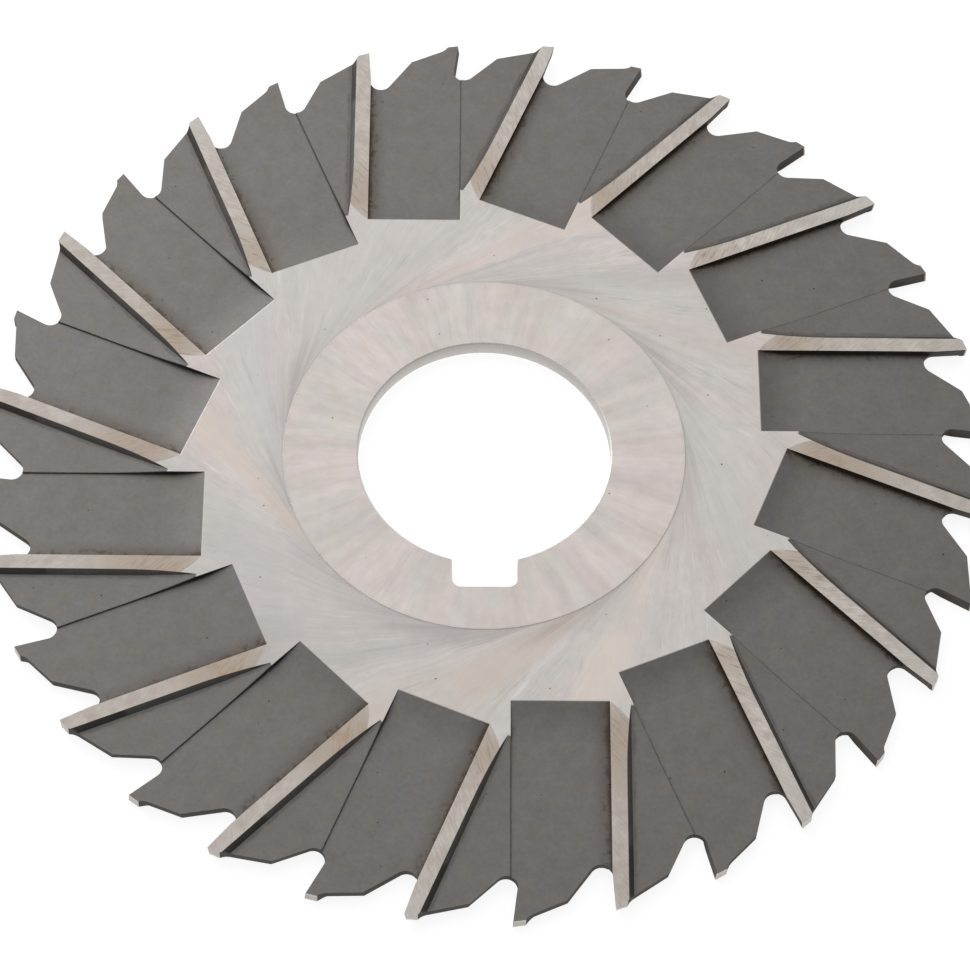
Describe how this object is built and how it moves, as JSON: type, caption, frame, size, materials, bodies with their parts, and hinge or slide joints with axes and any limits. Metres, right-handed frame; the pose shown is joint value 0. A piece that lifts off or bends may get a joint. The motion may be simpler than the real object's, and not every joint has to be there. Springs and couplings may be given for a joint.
{
  "type": "slitting saw",
  "caption": "Round steel slitting saw with staggered teeth, side gashes in both faces, a flat hub ring and a bore with a keyway.",
  "frame": {"origin": "centre of the bore on the lower face", "axes": "+Z along the arbor axis, from the lower face to the upper face, -Y towards the keyway; seen from +Z the teeth point clockwise"},
  "size_m": [0.1268, 0.1268, 0.0024],
  "materials": {
    "steel": "ground bright on hub, web and lands, dull grey in the gashes"
  },
  "bodies": {
    "root": {"saw": "steel"}
  },
  "joints": []
}
